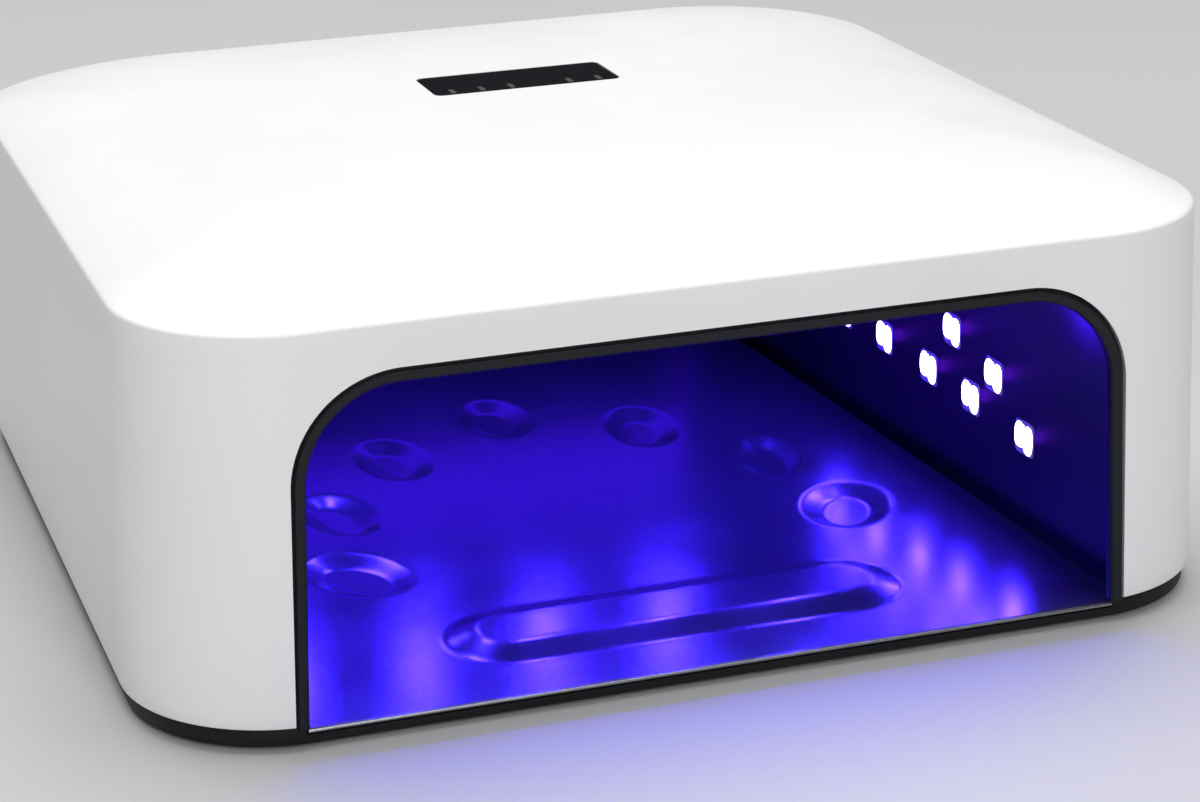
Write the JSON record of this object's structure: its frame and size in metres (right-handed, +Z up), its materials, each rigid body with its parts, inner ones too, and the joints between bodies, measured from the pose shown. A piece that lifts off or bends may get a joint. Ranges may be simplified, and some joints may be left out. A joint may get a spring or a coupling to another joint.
{
  "type": "uv led nail lamp",
  "caption": "Box-shaped gel nail curing lamp with a domed top, wide arched hand opening, lit cavity, flush display and lift-off steel floor plate.",
  "frame": {"origin": "on the surface the feet stand on, under the middle of the outline", "axes": "+Z up, -Y out of the hand opening, +X to the right seen from the front"},
  "size_m": [0.23, 0.228, 0.0939],
  "materials": {
    "white_plastic": "smooth satin-gloss white ABS",
    "black_plastic": "fine matte black",
    "black_gloss": "polished black window",
    "reflector_plastic": "smoke-grey gloss plastic liner",
    "led_lens": "clear lens over violet diodes",
    "led_board": "white solder mask",
    "control_board": "green solder mask",
    "display_body": "dark moulded digit block",
    "touch_rubber": "conductive rubber",
    "sensor_lens": "dark infrared-pass lens",
    "steel": "satin rolled and pressed",
    "nickel": "nickel plate",
    "rubber": "soft black rubber",
    "lead_sleeve": "red sleeve"
  },
  "bodies": {
    "tray": {"tray_frame": "black_plastic", "base_plate": "steel", "foot_front_right": "rubber", "foot_front_left": "rubber", "foot_rear_right": "rubber", "foot_rear_left": "rubber"},
    "lamp": {"top_shell": "white_plastic", "opening_trim": "black_plastic", "bottom_frame": "black_plastic", "reflector": "reflector_plastic", "display_window": "black_gloss", "display_module": "display_body", "touch_strip": "touch_rubber", "control_board": "control_board", "dc_jack": "black_plastic", "magnet_front_right": "nickel", "magnet_front_left": "nickel", "magnet_rear_right": "nickel", "magnet_rear_left": "nickel", "screw_front_right": "nickel", "screw_front_left": "nickel", "screw_rear_right": "nickel", "screw_rear_left": "nickel", "led_bead_right_1": "led_lens", "led_bead_right_2": "led_lens", "led_bead_right_3": "led_lens", "led_bead_right_4": "led_lens", "led_bead_right_5": "led_lens", "led_bead_right_6": "led_lens", "led_bead_right_7": "led_lens", "led_bead_right_8": "led_lens", "led_bead_right_9": "led_lens", "led_bead_left_1": "led_lens", "led_bead_left_2": "led_lens", "led_bead_left_3": "led_lens", "led_bead_left_4": "led_lens", "led_bead_left_5": "led_lens", "led_bead_left_6": "led_lens", "led_bead_left_7": "led_lens", "led_bead_left_8": "led_lens", "led_bead_left_9": "led_lens", "led_bead_top_1": "led_lens", "led_bead_top_2": "led_lens", "led_bead_top_3": "led_lens", "led_bead_top_4": "led_lens", "led_bead_top_5": "led_lens", "led_bead_top_6": "led_lens", "led_bead_top_7": "led_lens", "led_bead_top_8": "led_lens", "led_board_left": "led_board", "led_board_right": "led_board", "led_board_top": "led_board", "lead_left": "lead_sleeve", "lead_right": "lead_sleeve", "lead_top": "lead_sleeve", "lead_power": "lead_sleeve", "hand_sensor_emitter": "sensor_lens", "hand_sensor_receiver": "sensor_lens"}
  },
  "joints": [
    {"name": "lamp_lift", "type": "slide", "parent": "tray", "child": "lamp", "axis": [0, 0, 1], "range_m": [0, 0.06]}
  ]
}
